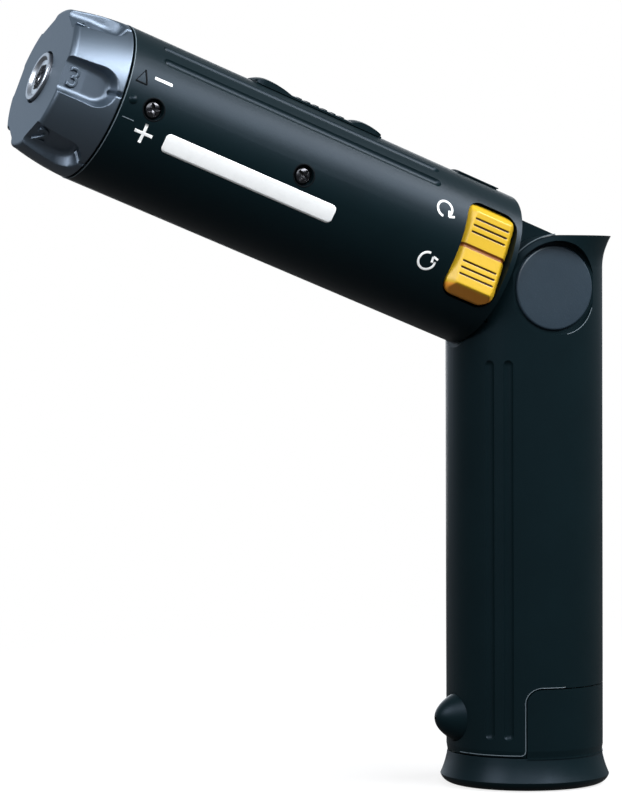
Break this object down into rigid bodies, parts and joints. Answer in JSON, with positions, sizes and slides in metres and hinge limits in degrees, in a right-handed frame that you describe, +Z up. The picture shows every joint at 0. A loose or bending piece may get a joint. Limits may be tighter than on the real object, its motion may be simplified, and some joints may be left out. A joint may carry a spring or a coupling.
{
  "type": "cordless screwdriver",
  "caption": "Cordless screwdriver with a round handle that pivots on a round barrel, a slide-out battery, a rocker switch, a fluted torque collar and a hexagon bit socket.",
  "frame": {"origin": "centre of the flat underside of the battery's foot", "axes": "+Z up along the handle; the barrel's nose points to -X; the rocker faces -Y"},
  "size_m": [0.1657, 0.0452, 0.2028],
  "materials": {
    "body_plastic": "fine moulded grain",
    "collar_plastic": "satin",
    "cap_plastic": "fine moulded grain",
    "rocker_plastic": "smooth",
    "inner_plastic": "plain",
    "screw_steel": "blackened",
    "steel": "turned",
    "spring_steel": "drawn",
    "contact_brass": "plain",
    "cell_sleeve": "shrink sleeve",
    "magnet": "sintered",
    "gear_plastic": "natural",
    "case_metal": "die cast"
  },
  "bodies": {
    "handle": {"handle_shell_near": "body_plastic", "handle_shell_far": "body_plastic", "handle_screws": "screw_steel", "pivot_pin": "steel", "friction_washers": "spring_steel", "pivot_cap_near": "cap_plastic", "pivot_cap_far": "cap_plastic", "contact_block": "inner_plastic", "contact_pins": "contact_brass"},
    "battery": {"battery_cap": "body_plastic", "battery_tube": "inner_plastic", "cell_lower": "cell_sleeve", "cell_link": "contact_brass", "cell_upper": "cell_sleeve", "battery_terminals": "contact_brass"},
    "latch": {"latch_button": "body_plastic", "latch_spring": "spring_steel"},
    "barrel": {"barrel_shell_near": "body_plastic", "barrel_shell_far": "body_plastic", "barrel_screws": "screw_steel", "switch_block": "inner_plastic", "rocker_pin": "steel", "motor_can": "steel", "motor_magnets": "magnet", "motor_end_cap": "inner_plastic", "motor_terminals": "contact_brass", "gear_case": "case_metal", "ring_gear_first": "gear_plastic", "ring_gear_second": "gear_plastic", "front_bush": "contact_brass", "clutch_balls": "steel", "thrust_plate": "steel", "clutch_spring": "spring_steel", "stop_ring": "steel"},
    "rocker": {"rocker": "rocker_plastic"},
    "lock": {"lock_slide": "body_plastic"},
    "selector": {"speed_selector": "body_plastic"},
    "collar": {"clutch_collar": "collar_plastic"},
    "nut": {"clutch_nut": "inner_plastic"},
    "rotor": {"rotor": "steel", "sun_pinion": "steel"},
    "carrier": {"first_carrier": "steel"},
    "spindle": {"spindle": "steel", "output_carrier": "steel", "spindle_clip": "steel"},
    "first_planet_a": {"first_planet_a": "gear_plastic"},
    "first_planet_b": {"first_planet_b": "gear_plastic"},
    "first_planet_c": {"first_planet_c": "gear_plastic"},
    "second_planet_a": {"second_planet_a": "gear_plastic"},
    "second_planet_b": {"second_planet_b": "gear_plastic"},
    "second_planet_c": {"second_planet_c": "gear_plastic"}
  },
  "joints": [
    {"name": "head_pivot", "type": "hinge", "parent": "handle", "child": "barrel", "pos_m": [0, 0, 0.1324], "axis": [0, 1, 0], "range_deg": [0, 68.6]},
    {"name": "battery_pull", "type": "slide", "parent": "handle", "child": "battery", "axis": [0, 0, -1], "range_m": [0, 0.095]},
    {"name": "latch_press", "type": "slide", "parent": "handle", "child": "latch", "axis": [1, 0, 0], "range_m": [0, 0.0012], "stiffness_N_per_m": 400, "deforming": ["latch_spring"]},
    {"name": "rocker_tilt", "type": "hinge", "parent": "barrel", "child": "rocker", "pos_m": [-0.02179, -0.0142, 0.14094], "axis": [-0.9311, 0, 0.3649], "range_deg": [-6, 6], "stiffness_Nm_per_rad": 0.05},
    {"name": "lock_shift", "type": "slide", "parent": "barrel", "child": "lock", "axis": [-0.9311, 0, 0.3649], "range_m": [0, 0.003]},
    {"name": "speed_shift", "type": "slide", "parent": "barrel", "child": "selector", "axis": [-0.9311, 0, 0.3649], "range_m": [0, 0.006]},
    {"name": "torque_dial", "type": "hinge", "parent": "barrel", "child": "collar", "pos_m": [-0.12849, 0, 0.18275], "axis": [0.9311, 0, -0.3649], "range_deg": [-120, 180]},
    {"name": "nut_feed", "type": "slide", "parent": "collar", "child": "nut", "axis": [0.9311, 0, -0.3649], "range_m": [-0.0014, 0.0021], "deforming": ["clutch_spring"]},
    {"name": "carrier_spin", "type": "hinge", "parent": "barrel", "child": "carrier", "pos_m": [-0.08659, 0, 0.16633], "axis": [-0.9311, 0, 0.3649], "continuous": true},
    {"name": "motor_spin", "type": "hinge", "parent": "barrel", "child": "rotor", "pos_m": [-0.05586, 0, 0.15429], "axis": [-0.9311, 0, 0.3649], "continuous": true},
    {"name": "spindle_spin", "type": "hinge", "parent": "barrel", "child": "spindle", "pos_m": [-0.11173, 0, 0.17619], "axis": [-0.9311, 0, 0.3649], "continuous": true},
    {"name": "first_planet_a_spin", "type": "hinge", "parent": "carrier", "child": "first_planet_a", "pos_m": [-0.07836, 0, 0.17253], "axis": [-0.9311, 0, 0.3649], "continuous": true},
    {"name": "first_planet_b_spin", "type": "hinge", "parent": "carrier", "child": "first_planet_b", "pos_m": [-0.08316, 0.0076, 0.16028], "axis": [-0.9311, 0, 0.3649], "continuous": true},
    {"name": "first_planet_c_spin", "type": "hinge", "parent": "carrier", "child": "first_planet_c", "pos_m": [-0.08316, -0.0076, 0.16028], "axis": [-0.9311, 0, 0.3649], "continuous": true},
    {"name": "second_planet_a_spin", "type": "hinge", "parent": "spindle", "child": "second_planet_a", "pos_m": [-0.08916, 0, 0.17677], "axis": [-0.9311, 0, 0.3649], "continuous": true},
    {"name": "second_planet_b_spin", "type": "hinge", "parent": "spindle", "child": "second_planet_b", "pos_m": [-0.09396, 0.0076, 0.16451], "axis": [-0.9311, 0, 0.3649], "continuous": true},
    {"name": "second_planet_c_spin", "type": "hinge", "parent": "spindle", "child": "second_planet_c", "pos_m": [-0.09396, -0.0076, 0.16451], "axis": [-0.9311, 0, 0.3649], "continuous": true}
  ],
  "couplings": [
    {"joint": "nut_feed", "follows": "torque_dial", "m_per_rad": 0.00063662},
    {"joint": "motor_spin", "follows": "carrier_spin", "ratio": 4.5},
    {"joint": "spindle_spin", "follows": "carrier_spin", "ratio": 0.22222},
    {"joint": "first_planet_a_spin", "follows": "carrier_spin", "ratio": -2.8},
    {"joint": "first_planet_b_spin", "follows": "carrier_spin", "ratio": -2.8},
    {"joint": "first_planet_c_spin", "follows": "carrier_spin", "ratio": -2.8},
    {"joint": "second_planet_a_spin", "follows": "carrier_spin", "ratio": -0.62222},
    {"joint": "second_planet_b_spin", "follows": "carrier_spin", "ratio": -0.62222},
    {"joint": "second_planet_c_spin", "follows": "carrier_spin", "ratio": -0.62222}
  ]
}
